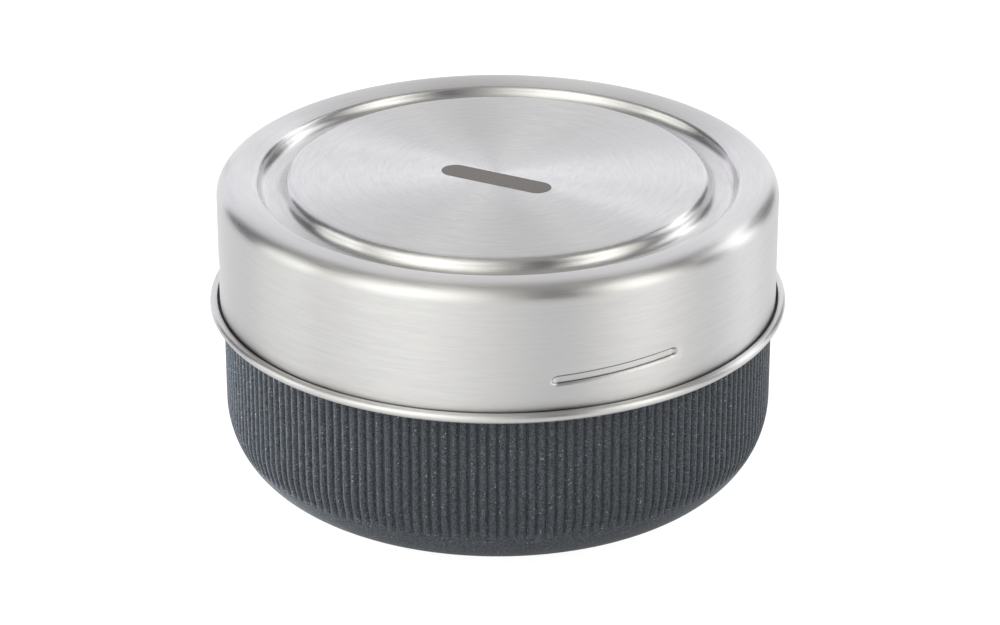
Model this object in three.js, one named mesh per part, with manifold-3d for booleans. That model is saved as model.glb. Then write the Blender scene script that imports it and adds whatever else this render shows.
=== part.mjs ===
// A round glass lunch bowl in a ribbed silicone sleeve, with a screw-on steel lid and its seal ring.
// Millimetres, +Z up. The origin is the centre of the sleeve's base, and the front of the bowl faces -Y.

import * as THREE from 'three';
import { mergeVertices } from 'three/addons/utils/BufferGeometryUtils.js';
import Module from 'manifold-3d';

const wasm = await Module();
wasm.setup();

// Overall sizes
const totalHeight = 83.4;
const lidOuterRadius = 75;
const seatGap = 0.3;

// Lid pressing
const sheetThickness = 0.6;
const shoulderRadius = 4.6;
const ringWidth = 4.1;
const lipRadius = 3.2;
const grooveDepth = 3.4;
const grooveOuterFillet = 1.8;
const grooveFloorWidth = 2.6;
const grooveInnerFillet = 1.4;
const discEdgeRadius = 2;
const discDrop = 0.55;
const lidWallHeight = 36.4;

// Rolled rim at the lid's lower edge
const curlRadius = 1.65;
const curlEdgeGap = 0.3;

// Lugs pressed inwards through the lid's wall, and the ridges on the glass that they hook under
const lugCount = 3;
const threadLead = 24;
const lugDepth = 1.7;
const lugHeight = 2.8;
const lugFloorHeight = 1.2;
const lugStartDegrees = 10.5;
const lugSweepDegrees = 27;
const lugRise = 10.5;
const lugTipGap = 1.4;
const ridgeTipGap = 0.9;
const ridgeRootDepth = 0.8;
const ridgeRootWidth = 3;
const ridgeTipWidth = 1.6;
const ridgeSweepDegrees = 52;
const threadGap = 0.4;
const endTaper = 0.25;

// Seal ring
const sealThickness = 3;
const sealOuterGap = 0.5;

// Glass bowl
const glassWall = 3.8;
const glassFloor = 5;

// Silicone sleeve
const sleeveWall = 2.65;
const sleeveFloor = 2.5;
const sleeveCornerWidth = 17.4;
const sleeveCornerHeight = 20.4;
const ribCount = 184;
const ribDepth = 1;
const ribEndHeight = 14;
const ribRunOut = 3.5;

// Facets
const roundSegmentCount = 60;
const arcStepDegrees = 36;
const curlStepCount = 8;
const cornerStepCount = 5;
const threadStepCount = 8;
const leastLevelStep = 0.01;
const mergeDistance = 0.0001;
const lowCornerDegrees = 30;
const midCornerDegrees = 60;

const toRadians = Math.PI / 180;

// Heights and radii that follow from the sizes above
const lidInnerRadius = lidOuterRadius - sheetThickness;
const shoulderCentreRadius = lidOuterRadius - shoulderRadius;
const ringInnerRadius = shoulderCentreRadius - ringWidth;
const discHeight = totalHeight - discDrop;
const grooveFloorHeight = totalHeight - grooveDepth;
const curlCentreRadius = lidInnerRadius + curlRadius;
const curlCentreHeight = totalHeight - lidWallHeight + curlRadius;
const rimBottom = curlCentreHeight - curlRadius;
const lugStartHeight = rimBottom + lugRise;
const glassRadius = lidInnerRadius - lugDepth - lugTipGap;
const ridgeTipRadius = lidInnerRadius - ridgeTipGap;
const glassInnerRadius = glassRadius - glassWall;
const sleeveInnerRadius = glassRadius + seatGap;
const sleeveRadius = sleeveInnerRadius + sleeveWall;
const sleeveTop = rimBottom - seatGap;
const cornerCentreRadius = sleeveRadius - sleeveCornerWidth;
const cornerCentreHeight = sleeveCornerHeight;
const glassBottom = sleeveFloor + seatGap;
const sealTop = totalHeight - sheetThickness - seatGap;
const glassTop = sealTop - sealThickness - seatGap;

// A path in the (radius, height) plane. Each point keeps the direction that the surface faces.
function pathPoint(radius, height, facingRadius, facingHeight) {
  return { radius, height, facingRadius, facingHeight };
}

// Points on a round stretch of a path, with the surface facing away from the centre, or towards it if hollow
function arcPath(centreRadius, centreHeight, arcRadius, fromDegrees, toDegrees, hollow, steps) {
  const count = steps ?? Math.max(2, Math.round(Math.abs(toDegrees - fromDegrees) / arcStepDegrees));
  const side = hollow ? -1 : 1;
  const points = [];
  for (let step = 0; step <= count; step += 1) {
    const angle = (fromDegrees + (toDegrees - fromDegrees) * step / count) * toRadians;
    const across = Math.cos(angle);
    const up = Math.sin(angle);
    points.push(pathPoint(centreRadius + arcRadius * across, centreHeight + arcRadius * up,
      side * across, side * up));
  }
  return points;
}

// A step between two flat levels: one round bend, an upright stretch if the step is deep, and one bend back
function stepBend(depth, upperRadius, lowerRadius) {
  const bend = upperRadius + lowerRadius;
  const turn = Math.acos(Math.max(0, 1 - depth / bend));
  return { turnDegrees: turn / toRadians, width: bend * Math.sin(turn) };
}

// Profile points of a sheet: the path set back by the sheet's thickness, and then the path itself reversed
function sheetProfile(path, thickness) {
  const back = path.map((point) => new THREE.Vector2(
    Math.max(0, point.radius - thickness * point.facingRadius),
    point.height - thickness * point.facingHeight,
  ));
  const face = path.map((point) => new THREE.Vector2(point.radius, point.height));
  return [...back, ...face.reverse()];
}

// Points on the quarter ellipse of a bottom corner, from the flat base up to the upright wall
function cornerPoints(width, height) {
  const points = [];
  for (let step = 0; step <= cornerStepCount; step += 1) {
    const angle = 90 * toRadians * step / cornerStepCount;
    points.push(new THREE.Vector2(cornerCentreRadius + width * Math.sin(angle),
      cornerCentreHeight - height * Math.cos(angle)));
  }
  return points;
}

// Geometry

function geometryFrom(vertices, triangles) {
  const geometry = new THREE.BufferGeometry();
  geometry.setAttribute('position', new THREE.Float32BufferAttribute(vertices, 3));
  geometry.setIndex(triangles);
  return geometry;
}

// Joins shared vertices and drops the empty triangles that are left at the axis
function closedGeometry(geometry) {
  const bare = geometry.clone();
  bare.deleteAttribute('normal');
  bare.deleteAttribute('uv');
  const merged = mergeVertices(bare, mergeDistance);
  const index = merged.getIndex().array;
  const kept = [];
  for (let at = 0; at < index.length; at += 3) {
    const [a, b, c] = [index[at], index[at + 1], index[at + 2]];
    if (a !== b && b !== c && c !== a) kept.push(a, b, c);
  }
  merged.setIndex(kept);
  return merged;
}

// A solid of revolution about Z, from a profile that runs up its outside and back down its inside
function turned(profile) {
  const lathe = new THREE.LatheGeometry(profile, roundSegmentCount);
  lathe.rotateX(Math.PI / 2);
  return closedGeometry(lathe);
}

function solidFrom(geometry) {
  const vertProperties = new Float32Array(geometry.getAttribute('position').array);
  const triVerts = new Uint32Array(geometry.getIndex().array);
  return new wasm.Manifold(new wasm.Mesh({ numProp: 3, vertProperties, triVerts }));
}

function geometryOf(solid) {
  const mesh = solid.getMesh();
  return geometryFrom(Array.from(mesh.vertProperties), Array.from(mesh.triVerts));
}

// Direction of an azimuth counted from the front (-Y) towards the right (+X)
function directionAt(azimuth) {
  return [Math.sin(azimuth), -Math.cos(azimuth)];
}

// A bar that climbs round the axis by the thread's lead. Its section has a root and a narrower tip, and it
// runs out to a shallow end at both ends.
function helicalBar(rootRadius, tipRadius, rootWidth, tipWidth, startDegrees, sweepDegrees, startHeight) {
  const vertices = [];
  const triangles = [];
  const cornerCount = 4;
  for (let step = 0; step <= threadStepCount; step += 1) {
    const along = step / threadStepCount;
    const azimuth = (startDegrees + sweepDegrees * along) * toRadians;
    const height = startHeight + threadLead * sweepDegrees * along / 360;
    const atEnd = step === 0 || step === threadStepCount;
    const reach = atEnd ? endTaper : 1;
    const tip = rootRadius + (tipRadius - rootRadius) * reach;
    const [x, y] = directionAt(azimuth);
    const section = [
      [rootRadius, -rootWidth / 2],
      [tip, -tipWidth / 2],
      [tip, tipWidth / 2],
      [rootRadius, rootWidth / 2],
    ];
    for (const [radius, rise] of section) vertices.push(x * radius, y * radius, height + rise);
  }
  for (let step = 0; step < threadStepCount; step += 1) {
    for (let corner = 0; corner < cornerCount; corner += 1) {
      const a = step * cornerCount + corner;
      const b = step * cornerCount + (corner + 1) % cornerCount;
      triangles.push(a, a + cornerCount, b, b, a + cornerCount, b + cornerCount);
    }
  }
  const last = threadStepCount * cornerCount;
  triangles.push(0, 1, 2, 0, 2, 3);
  triangles.push(last, last + 2, last + 1, last, last + 3, last + 2);
  // The section runs the other way round where the tip lies inside the root
  if (tipRadius < rootRadius) {
    for (let at = 0; at < triangles.length; at += 3) {
      [triangles[at + 1], triangles[at + 2]] = [triangles[at + 2], triangles[at + 1]];
    }
  }
  return geometryFrom(vertices, triangles);
}

// The same bar at every lug's place round the axis
function helicalBars(makeBar) {
  const bars = [];
  for (let lug = 0; lug < lugCount; lug += 1) {
    bars.push(solidFrom(makeBar(360 * lug / lugCount)));
  }
  return bars;
}

// Lid

function lidPath() {
  const outerStep = stepBend(grooveDepth, lipRadius, grooveOuterFillet);
  const innerStep = stepBend(grooveDepth - discDrop, discEdgeRadius, grooveInnerFillet);
  const floorOuterRadius = ringInnerRadius - outerStep.width;
  const floorInnerRadius = floorOuterRadius - grooveFloorWidth;
  const discRadius = floorInnerRadius - innerStep.width;
  const curlEndDegrees = 360 + Math.acos(
    (lidOuterRadius + curlEdgeGap - curlCentreRadius) / curlRadius) / toRadians;
  return [
    pathPoint(0, discHeight, 0, 1),
    ...arcPath(discRadius, discHeight - discEdgeRadius, discEdgeRadius, 90, 90 - innerStep.turnDegrees),
    ...arcPath(floorInnerRadius, grooveFloorHeight + grooveInnerFillet, grooveInnerFillet,
      270 - innerStep.turnDegrees, 270, true),
    ...arcPath(floorOuterRadius, grooveFloorHeight + grooveOuterFillet, grooveOuterFillet,
      270, 270 + outerStep.turnDegrees, true),
    ...arcPath(ringInnerRadius, totalHeight - lipRadius, lipRadius, 90 + outerStep.turnDegrees, 90),
    ...arcPath(shoulderCentreRadius, totalHeight - shoulderRadius, shoulderRadius, 90, 0),
    ...arcPath(curlCentreRadius, curlCentreHeight, curlRadius - sheetThickness,
      180, curlEndDegrees, true, curlStepCount),
  ];
}

function makeLid() {
  const shell = solidFrom(turned(sheetProfile(lidPath(), sheetThickness)));
  const bumps = helicalBars((turn) => helicalBar(
    lidInnerRadius + sheetThickness / 2, lidInnerRadius - lugDepth,
    lugHeight + sheetThickness, lugFloorHeight + sheetThickness,
    lugStartDegrees + turn, lugSweepDegrees, lugStartHeight));
  const hollows = helicalBars((turn) => helicalBar(
    lidOuterRadius + sheetThickness / 2, lidOuterRadius - lugDepth,
    lugHeight, lugFloorHeight,
    lugStartDegrees + turn, lugSweepDegrees, lugStartHeight));
  let lid = shell;
  for (const bump of bumps) lid = lid.add(bump);
  for (const hollow of hollows) lid = lid.subtract(hollow);
  return geometryOf(lid);
}

// Seal ring, fitted to the channel between the lid's groove and its wall

function makeSeal() {
  const bottom = sealTop - sealThickness;
  const outerRadius = lidInnerRadius - sealOuterGap;
  const innerRadius = ringInnerRadius - (lipRadius - sheetThickness - seatGap);
  const shoulderReach = shoulderRadius - sheetThickness - seatGap;
  const outerReach = Math.min(outerRadius - shoulderCentreRadius, shoulderReach);
  const outerRise = Math.sqrt(shoulderReach ** 2 - outerReach ** 2);
  const outerTop = Math.max(bottom + seatGap, totalHeight - shoulderRadius + outerRise);
  const innerTop = Math.max(bottom + seatGap, totalHeight - lipRadius);
  const profile = [
    new THREE.Vector2(innerRadius, bottom),
    new THREE.Vector2(outerRadius, bottom),
    new THREE.Vector2(outerRadius, outerTop),
    new THREE.Vector2(shoulderCentreRadius, sealTop),
    new THREE.Vector2(ringInnerRadius, sealTop),
    new THREE.Vector2(innerRadius, innerTop),
    new THREE.Vector2(innerRadius, bottom),
  ];
  return turned(profile);
}

// Glass bowl

function makeGlass() {
  const outerCorner = cornerPoints(glassRadius - cornerCentreRadius, cornerCentreHeight - glassBottom);
  const innerCorner = cornerPoints(glassInnerRadius - cornerCentreRadius,
    cornerCentreHeight - glassBottom - glassFloor);
  const rimRadius = glassWall / 2;
  const rim = arcPath(glassRadius - rimRadius, glassTop - rimRadius, rimRadius, 0, 180);
  const profile = [
    new THREE.Vector2(0, glassBottom),
    ...outerCorner,
    ...rim.map((point) => new THREE.Vector2(point.radius, point.height)),
    ...innerCorner.reverse(),
    new THREE.Vector2(0, glassBottom + glassFloor),
  ];
  let glass = solidFrom(turned(profile));
  const lugTop = (lugHeight + sheetThickness) / 2;
  const ridgeLift = lugTop + threadGap + ridgeRootWidth / 2;
  const overrunDegrees = (ridgeSweepDegrees - lugSweepDegrees) / 2;
  const ridgeStartHeight = lugStartHeight + ridgeLift - threadLead * overrunDegrees / 360;
  const ridges = helicalBars((turn) => helicalBar(
    glassRadius - ridgeRootDepth, ridgeTipRadius,
    ridgeRootWidth, ridgeTipWidth,
    lugStartDegrees - overrunDegrees + turn, ridgeSweepDegrees, ridgeStartHeight));
  for (const ridge of ridges) glass = glass.add(ridge);
  return geometryOf(glass);
}

// Silicone sleeve

// How deep the valleys between the ribs are at a height: nothing below the ribs' ends, then full depth
function valleyDepth(height) {
  return ribDepth * THREE.MathUtils.clamp((height - ribEndHeight) / ribRunOut, 0, 1);
}

// Radius of the sleeve's smooth outside at a height
function sleeveRadiusAt(height) {
  const below = Math.max(0, cornerCentreHeight - height) / cornerCentreHeight;
  return cornerCentreRadius + sleeveCornerWidth * Math.sqrt(1 - below * below);
}

// Drops a level that lies on the one before it in a sorted list
function isNewLevel(height, at, levels) {
  return at === 0 || height - levels[at - 1] > leastLevelStep;
}

function ribbedBlock() {
  const columns = ribCount * 2;
  const heights = [
    0,
    cornerCentreHeight * (1 - Math.cos(lowCornerDegrees * toRadians)),
    cornerCentreHeight * (1 - Math.cos(midCornerDegrees * toRadians)),
    ribEndHeight,
    ribEndHeight + ribRunOut,
    cornerCentreHeight,
    sleeveTop,
  ].sort((first, second) => first - second).filter(isNewLevel);
  const vertices = [0, 0, 0];
  const triangles = [];
  for (const height of heights) {
    for (let column = 0; column < columns; column += 1) {
      const valley = column % 2 === 0 ? valleyDepth(height) : 0;
      const [x, y] = directionAt(2 * Math.PI * column / columns);
      const radius = sleeveRadiusAt(height) - valley;
      vertices.push(x * radius, y * radius, height);
    }
  }
  const topCentre = vertices.length / 3;
  vertices.push(0, 0, sleeveTop);
  const lastRing = 1 + (heights.length - 1) * columns;
  for (let column = 0; column < columns; column += 1) {
    const next = (column + 1) % columns;
    triangles.push(0, 1 + next, 1 + column);
    triangles.push(topCentre, lastRing + column, lastRing + next);
    for (let ring = 0; ring < heights.length - 1; ring += 1) {
      const low = 1 + ring * columns;
      const high = low + columns;
      triangles.push(low + column, low + next, high + column);
      triangles.push(high + column, low + next, high + next);
    }
  }
  return geometryFrom(vertices, triangles);
}

function makeSleeve() {
  const mouth = sleeveTop + sleeveFloor;
  const hollow = turned([
    new THREE.Vector2(0, sleeveFloor),
    ...cornerPoints(sleeveInnerRadius - cornerCentreRadius, cornerCentreHeight - sleeveFloor),
    new THREE.Vector2(sleeveInnerRadius, mouth),
    new THREE.Vector2(0, mouth),
  ]);
  return geometryOf(solidFrom(ribbedBlock()).subtract(solidFrom(hollow)));
}

// Materials

const brushedSteel = new THREE.MeshStandardMaterial({ color: 0xd3d3d3, roughness: 0.35, metalness: 1 });
const sealSilicone = new THREE.MeshStandardMaterial({ color: 0xdcdad4, roughness: 0.55, metalness: 0 });
const sleeveSilicone = new THREE.MeshStandardMaterial({ color: 0x42464a, roughness: 0.8, metalness: 0 });
const clearGlass = new THREE.MeshStandardMaterial({
  color: 0xdfe9e6, roughness: 0.05, metalness: 0, transparent: true, opacity: 0.35,
});

// Assembly

function piece(name, geometry, material) {
  const mesh = new THREE.Mesh(geometry, material);
  mesh.name = name;
  return mesh;
}

const lunchBowl = new THREE.Group();
lunchBowl.add(piece('silicone_sleeve', makeSleeve(), sleeveSilicone));
lunchBowl.add(piece('glass_bowl', makeGlass(), clearGlass));
lunchBowl.add(piece('lid_seal', makeSeal(), sealSilicone));
lunchBowl.add(piece('lid_shell', makeLid(), brushedSteel));

export default lunchBowl;
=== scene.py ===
"""A round glass lunch bowl in a ribbed silicone sleeve, closed by a deep screw-on lid of brushed steel."""

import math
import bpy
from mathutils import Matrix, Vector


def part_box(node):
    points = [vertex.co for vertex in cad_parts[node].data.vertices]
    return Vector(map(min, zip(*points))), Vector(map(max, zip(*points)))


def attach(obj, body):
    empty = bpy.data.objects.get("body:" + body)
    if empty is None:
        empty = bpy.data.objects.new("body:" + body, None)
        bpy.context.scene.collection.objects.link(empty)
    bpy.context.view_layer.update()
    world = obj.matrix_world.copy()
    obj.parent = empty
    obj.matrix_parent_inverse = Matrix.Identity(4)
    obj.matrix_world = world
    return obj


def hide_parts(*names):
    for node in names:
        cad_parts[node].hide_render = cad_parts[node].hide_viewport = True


bl_info = {
    "name": "Glass Lunch Bowl",
    "version": (1, 0, 0),
    "blender": (4, 5, 0),
    "location": "View3D > Sidebar > Lunch Bowl",
    "description": "Makes a glass lunch bowl with a steel lid, a seal and a ribbed silicone sleeve",
    "category": "Add Mesh",
}

import bpy
from bpy.props import FloatProperty, FloatVectorProperty, IntProperty, PointerProperty

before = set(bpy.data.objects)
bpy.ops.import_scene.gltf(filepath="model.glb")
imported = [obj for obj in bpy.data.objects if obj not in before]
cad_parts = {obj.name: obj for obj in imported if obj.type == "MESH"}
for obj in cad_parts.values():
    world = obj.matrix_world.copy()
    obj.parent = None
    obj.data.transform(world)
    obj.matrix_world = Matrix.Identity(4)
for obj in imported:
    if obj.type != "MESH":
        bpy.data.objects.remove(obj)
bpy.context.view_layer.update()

MM = 0.001
FULL_TURN = 2 * math.pi

lid_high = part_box("lid_shell")[1]
sleeve_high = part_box("silicone_sleeve")[1]
seal_low, seal_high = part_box("lid_seal")
glass_low, glass_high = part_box("glass_bowl")


# Light and camera

# Light of the dim room by its walls and by its ceiling, and the elevations in degrees between which it goes
# from the one to the other
ROOM_LIGHT = (0.15, 0.145, 0.15)
CEILING_LIGHT = (0.41, 0.40, 0.38)
CEILING_RISE = (30, 80)

# Panels of light round the bowl: the azimuth of each panel's middle from the front towards the right, its
# half width, how softly its sides fade, the elevations of its bottom and its top, how softly these fade, all
# in degrees, and its light. A bottom of 0 stands on the floor.
PANELS = {
    "key box": (-39, 33.5, 34, 0, 61, 30, (1.79, 1.79, 1.67)),
    "left panel": (-93.5, 15, 5.5, 0, 36, 10, (1.12, 1.13, 1.06)),
    "front right box": (61, 15.5, 20, 0, 52, 4.5, (1.86, 1.85, 1.72)),
    "right box": (114, 10, 12.5, 0, 40, 14, (1.84, 1.85, 1.84)),
    "right strip": (137, 12.5, 6, 30, 39, 5.5, (1.96, 1.96, 1.90)),
    "back sweep": (175.5, 24.5, 5, 0, 54, 16, (0.92, 0.92, 0.95)),
    "back left panel": (-148.5, 10, 2, 0, 42, 16, (0.84, 0.83, 0.88)),
}

# Azimuth of each side lamp in degrees, from the front towards the right, and its power in watts
SIDE_LAMPS = {
    "left lamp": (-113, 66),
    "right lamp": (121, 28),
}

# Grey of the floor's paint, the strength of its glow, how much stronger the camera sees that glow, and the
# share of the camera's view of the floor that is glow
FLOOR_PAINT = 0.6
FLOOR_GLOW = 0.985
CAMERA_GLOW = 0.22
CAMERA_SHARE = 0.8

# Width of the camera's sensor in millimetres
SENSOR_WIDTH = 36


# Finishes of the steel and the sleeve

# Each kind of streak in the brushing: the distance across it, how often it changes round the axis, the
# detail of its noise, and its weight. The weights add up to 2, so that the sum of the noises lies about 1.
STREAKS = (
    (0.35 * MM, 26, 2, 0.6),
    (0.9 * MM, 6, 3, 1.4),
)
# Range of that sum that the steel's range of roughness is spread over
STREAK_RANGE = (0.6, 1.4)
# How strongly streaks tint the disc and the wall, and the lengths along the profile between which that goes
# from the one to the other
DISC_STREAK = 0.25
WALL_STREAK = 0.15
STREAK_CHANGE = (60 * MM, 75 * MM)
# How far streaks change the roughness, how much smoother the disc's middle is, and where that ends
ROUGH_SPREAD = 0.03
MIDDLE_POLISH = 0.08
MIDDLE_END = 30 * MM
# How much darker the steel's colour is painted deep in a crease, as painted shade
CREASE_PAINTED_SHADE = 0.75

# Height over which painted shade darkens the steel's colour down into the gap behind the rolled rim, how
# dark that painted shade gets, and how far that has come at the roll's edge
GAP_SHADE = 0.15 * MM
GAP_PAINTED_SHADE = 0.6
GAP_START = 0.4

# Share of its upward or its outward direction that a face has lost where it counts fully as a bend
BEND_RANGE = 0.1
# Share of the bends' smoothness that the shoulder and the rim have
SHOULDER_SHARE = 0.45

# Flecks of the sleeve: the size of the cell that can hold one, the share of cells that hold none, a fleck's
# largest reach in its cell, the width of its soft edge, and how few flecks are bright
FLECK_CELL = 0.55 * MM
FLECK_NONE = 0.35
FLECK_REACH = 0.42
FLECK_SOFT = 0.12
FLECK_RARE = 2.5
# Size of the sleeve's grain, and its darkest and lightest tones
GRAIN_SIZE = 0.45 * MM
GRAIN_TONES = (0.05, 1.95)
# Range of a noise that tones are spread over
NOISE_RANGE = (0.3, 0.7)


# Lugs and ridges

# Angle in degrees by which columns stand close together before and after a lug's or a ridge's end
LUG_MARGIN = 5
RIDGE_MARGIN = 3
# Height past a ridge where rows still follow it, and the height over which they come back to level
RIDGE_ROOM = 0.4 * MM
RIDGE_TAPER = 4 * MM
# Height past a lug's mouth that still has fine rows, the height past it where rows still follow the lug, as
# a share of the dish's width, and the height over which rows above the lug come back to level
LUG_ROOM = 0.2 * MM
DISH_ROOM = 1.2
LUG_TAPER = 7 * MM
# How far down its floor the painted shade under a lug's upper edge reaches, the share of the lug's depth
# where that painted shade sets in, and the share over which it does
EDGE_SHADE = 0.3 * MM
EDGE_START = 0.01
EDGE_RUN = 0.05
# Share of a lug's depth that its lower side steps up at once, the share of the lip's height that this step
# takes, and how far from its middle the painted shade at the step reaches, counted in such steps
LEDGE_SHARE = 0.25
LEDGE_RUN = 0.1
LEDGE_SHADE = 1.5


# Plate

# Share of the plate's standing height by which its upper edge slopes in
PLATE_BEVEL = 0.3


# How finely the meshes are divided

# Angle in degrees between two faces above which their edge is shown sharp
SHARP_DEGREES = 40
# Columns for each rib, and counts of rows and columns
RIB_COLUMNS = 10
SLEEVE_CORNER_ROWS = 26
SLEEVE_INSIDE_ROWS = 7
GLASS_CORNER_ROWS = 14
RIDGE_ROWS = 22
SEAL_COLUMNS = 256
DISC_RINGS = 8
GAP_ROWS = 6
DISH_ROWS = 4
PLATE_END_STEPS = 24
# Degrees between points of round stretches
SLEEVE_EDGE_STEP = 22
GLASS_RIM_STEP = 15
SEAL_RING_STEP = 5
SEAL_CORNER_STEP = 18
SEAL_SHOULDER_STEP = 12
# The same for the lid's face and for its back, with the count of rows over a lug's mouth
FACE_STEP, FACE_LUG_ROWS = 7.5, 50
BACK_STEP, BACK_LUG_ROWS = 15, 18
# How many times finer than that the ring is, and how many times coarser the rolled rim is
RING_FINENESS = 3
ROLL_COARSENESS = 1.5
# Degrees between columns at the ends of lugs or ridges, along them and between them
LID_COLUMNS = (0.3, 1, 2.4)
GLASS_COLUMNS = (0.5, 1.5, 2.5)


# Properties

def length(name, description, default):
    """A size that a user can change, in metres."""
    return FloatProperty(name=name, description=description, unit="LENGTH",
                         default=default, precision=5)


def turn(name, description, degrees):
    """An angle that a user can change."""
    return FloatProperty(name=name, description=description, subtype="ANGLE",
                         default=math.radians(degrees))


def share(name, description, default):
    """A number from 0 to 1."""
    return FloatProperty(name=name, description=description, subtype="FACTOR",
                         default=default, min=0, max=1)


def colour(name, description, default):
    """A colour in linear light."""
    return FloatVectorProperty(name=name, description=description, default=default, min=0, max=4,
                               size=3, subtype="COLOR")


class LidSizes(bpy.types.PropertyGroup):
    """Sizes of the lid's pressing"""
    top: length("Top", "Height of the ring's crest, the top of the lid", lid_high.z)
    wall_radius: length("Wall radius", "Outside radius of the upright wall", 75 * MM)
    sheet: length("Sheet", "Thickness of the steel", 0.6 * MM)
    shoulder: length("Shoulder", "Radius of the rounding from the ring to the wall", 4.6 * MM)
    ring_width: length("Ring width", "Width of the ring", 5.6 * MM)
    ring_drop: length("Ring drop", "How far the ring falls gently towards the groove", 0.85 * MM)
    lip: length("Lip", "Radius of the rounding from the ring into the groove", 1.6 * MM)
    groove_depth: length("Groove depth", "Depth of the groove below the ring's crest", 4.1 * MM)
    groove_outer: length("Groove outer fillet", "Fillet at the groove's outer side", 3.4 * MM)
    groove_floor: length("Groove floor", "Width of the groove's flat floor", 0.7 * MM)
    groove_inner: length("Groove inner fillet", "Fillet at the groove's inner side", 3.4 * MM)
    disc_edge: length("Disc edge", "Radius of the rounding at the disc's edge", 2.6 * MM)
    disc_drop: length("Disc drop", "How far the disc lies below the ring's crest", 0.25 * MM)
    wall_height: length("Wall height", "Height from the rim's underside to the ring's crest", 36.4 * MM)
    curl_offset: length("Curl offset", "How far the rolled rim stands off the wall", 0.7 * MM)
    curl: length("Curl", "Outside radius of the rolled rim", 1.28 * MM)
    curl_edge: length("Curl edge", "Distance from the upright wall out to the roll's edge", 0.75 * MM)


class ThreadSizes(bpy.types.PropertyGroup):
    """Sizes of the lugs in the lid's wall and of the ridges on the glass"""
    count: IntProperty(name="Count", description="Number of lugs, and of ridges", default=3, min=1, max=8)
    lead: length("Lead", "Rise of the thread in one turn", 24 * MM)
    lug_start: turn("Lug start", "Azimuth of the first lug, from the front towards the right", 10.5)
    lug_sweep: turn("Lug sweep", "Angle that a lug covers", 27)
    lug_rise: length("Lug rise", "Height of a lug's start above the rim's underside", 10.5 * MM)
    lug_depth: length("Lug depth", "How far a lug's floor lies below the wall's face", 0.9 * MM)
    lug_reach: length("Lug reach", "How far a lug stands in from the wall's back", 1.6 * MM)
    lug_top: length("Lug top", "Height of a lug's upper edge above its line", 1.4 * MM)
    lug_edge: length("Lug edge", "Height of the rounding at a lug's upper edge", 0.7 * MM)
    lug_floor: length("Lug floor", "Height of a lug's flat floor", 1.75 * MM)
    lug_lip: length("Lug lip", "Height of the rounded lip under a lug's floor", 1.0 * MM)
    lug_end: length("Lug end", "Length over which a lug runs out at each end", 2.0 * MM)
    dish_depth: length("Dish depth", "Depth of the soft dish that pressing leaves round a lug", 0.1 * MM)
    dish_width: length("Dish width", "Width of that dish", 2.4 * MM)
    ridge_sweep: turn("Ridge sweep", "Angle that a ridge on the glass covers", 52)
    ridge_lift: length("Ridge lift", "Height of a ridge above the lug that it holds", 3.6 * MM)
    ridge_height: length("Ridge height", "How far a ridge stands out", 2.2 * MM)
    ridge_root: length("Ridge root", "Width of a ridge where it leaves the glass", 3 * MM)
    ridge_tip: length("Ridge tip", "Width of a ridge at its tip", 1.2 * MM)


class BowlSizes(bpy.types.PropertyGroup):
    """Sizes of the glass bowl and its seal"""
    radius: length("Radius", "Outside radius of the glass", 71.3 * MM)
    wall: length("Wall", "Thickness of the glass wall", 3.8 * MM)
    floor: length("Floor", "Thickness of the glass floor", 5 * MM)
    bottom: length("Bottom", "Height of the glass's underside", glass_low.z)
    top: length("Top", "Height of the glass rim", glass_high.z)
    seal_round: length("Seal rounding", "Rounding of the seal's lower edges", 0.8 * MM)


class SleeveSizes(bpy.types.PropertyGroup):
    """Sizes of the silicone sleeve"""
    radius: length("Radius", "Outside radius over the ribs", 74.0 * MM)
    wall: length("Wall", "Thickness of the wall under the ribs' crowns", 2.4 * MM)
    floor: length("Floor", "Thickness of the floor", 2.5 * MM)
    top: length("Top", "Height of the sleeve's upper edge", sleeve_high.z)
    corner_width: length("Corner width", "Width of the rounded bottom corner", 17.4 * MM)
    corner_height: length("Corner height", "Height of the rounded bottom corner", 20.4 * MM)
    edge: length("Edge", "Rounding of the upper edge", 0.6 * MM)
    ribs: IntProperty(name="Ribs", description="Number of upright ribs", default=184, min=12, max=400)
    rib_depth: length("Rib depth", "Depth of the valleys between the ribs", 1.15 * MM)
    rib_fullness: FloatProperty(name="Rib fullness", default=2.6, min=1, max=8,
                                description="How full the ribs are: higher leaves narrower valleys")
    rib_end: length("Rib end", "Height where the valleys run out", 11 * MM)
    rib_runout: length("Rib run-out", "Height over which the valleys run out", 2 * MM)


class PlateSizes(bpy.types.PropertyGroup):
    """Place and size of the small etched plate on the lid's disc"""
    across: length("Across", "Place of the plate to the right of the axis", -0.42 * MM)
    back: length("Back", "Place of the plate behind the axis", -4.1 * MM)
    angle: turn("Angle", "Turn of the plate's long side", -28.2)
    long_side: length("Length", "Length of the plate", 32.14 * MM)
    short_side: length("Width", "Width of the plate", 7.59 * MM)
    proud: length("Proud", "How far the plate stands above the disc", 0.06 * MM)


class Finishes(bpy.types.PropertyGroup):
    """Colours and finishes"""
    steel: colour("Steel", "Colour of the steel", (0.704, 0.700, 0.701))
    steel_roughness: share("Steel roughness", "Roughness of the brushed steel", 0.36)
    bend_polish: share("Bend polish", "How much smoother the steel is where it bends", 0.13)
    steel_brushing: share("Brushing", "How far the brushing stretches reflections", 0.93)
    plate: colour("Plate", "Colour of the etched plate", (0.134, 0.126, 0.120))
    sleeve: colour("Sleeve", "Colour of the sleeve's silicone", (0.0405, 0.0475, 0.0585))
    fleck: colour("Fleck", "Colour of the flecks in the sleeve", (0.34, 0.36, 0.37))
    seal: colour("Seal", "Colour of the seal", (0.72, 0.71, 0.68))
    glass: colour("Glass", "Tint of the glass", (0.93, 0.975, 0.96))


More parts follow.
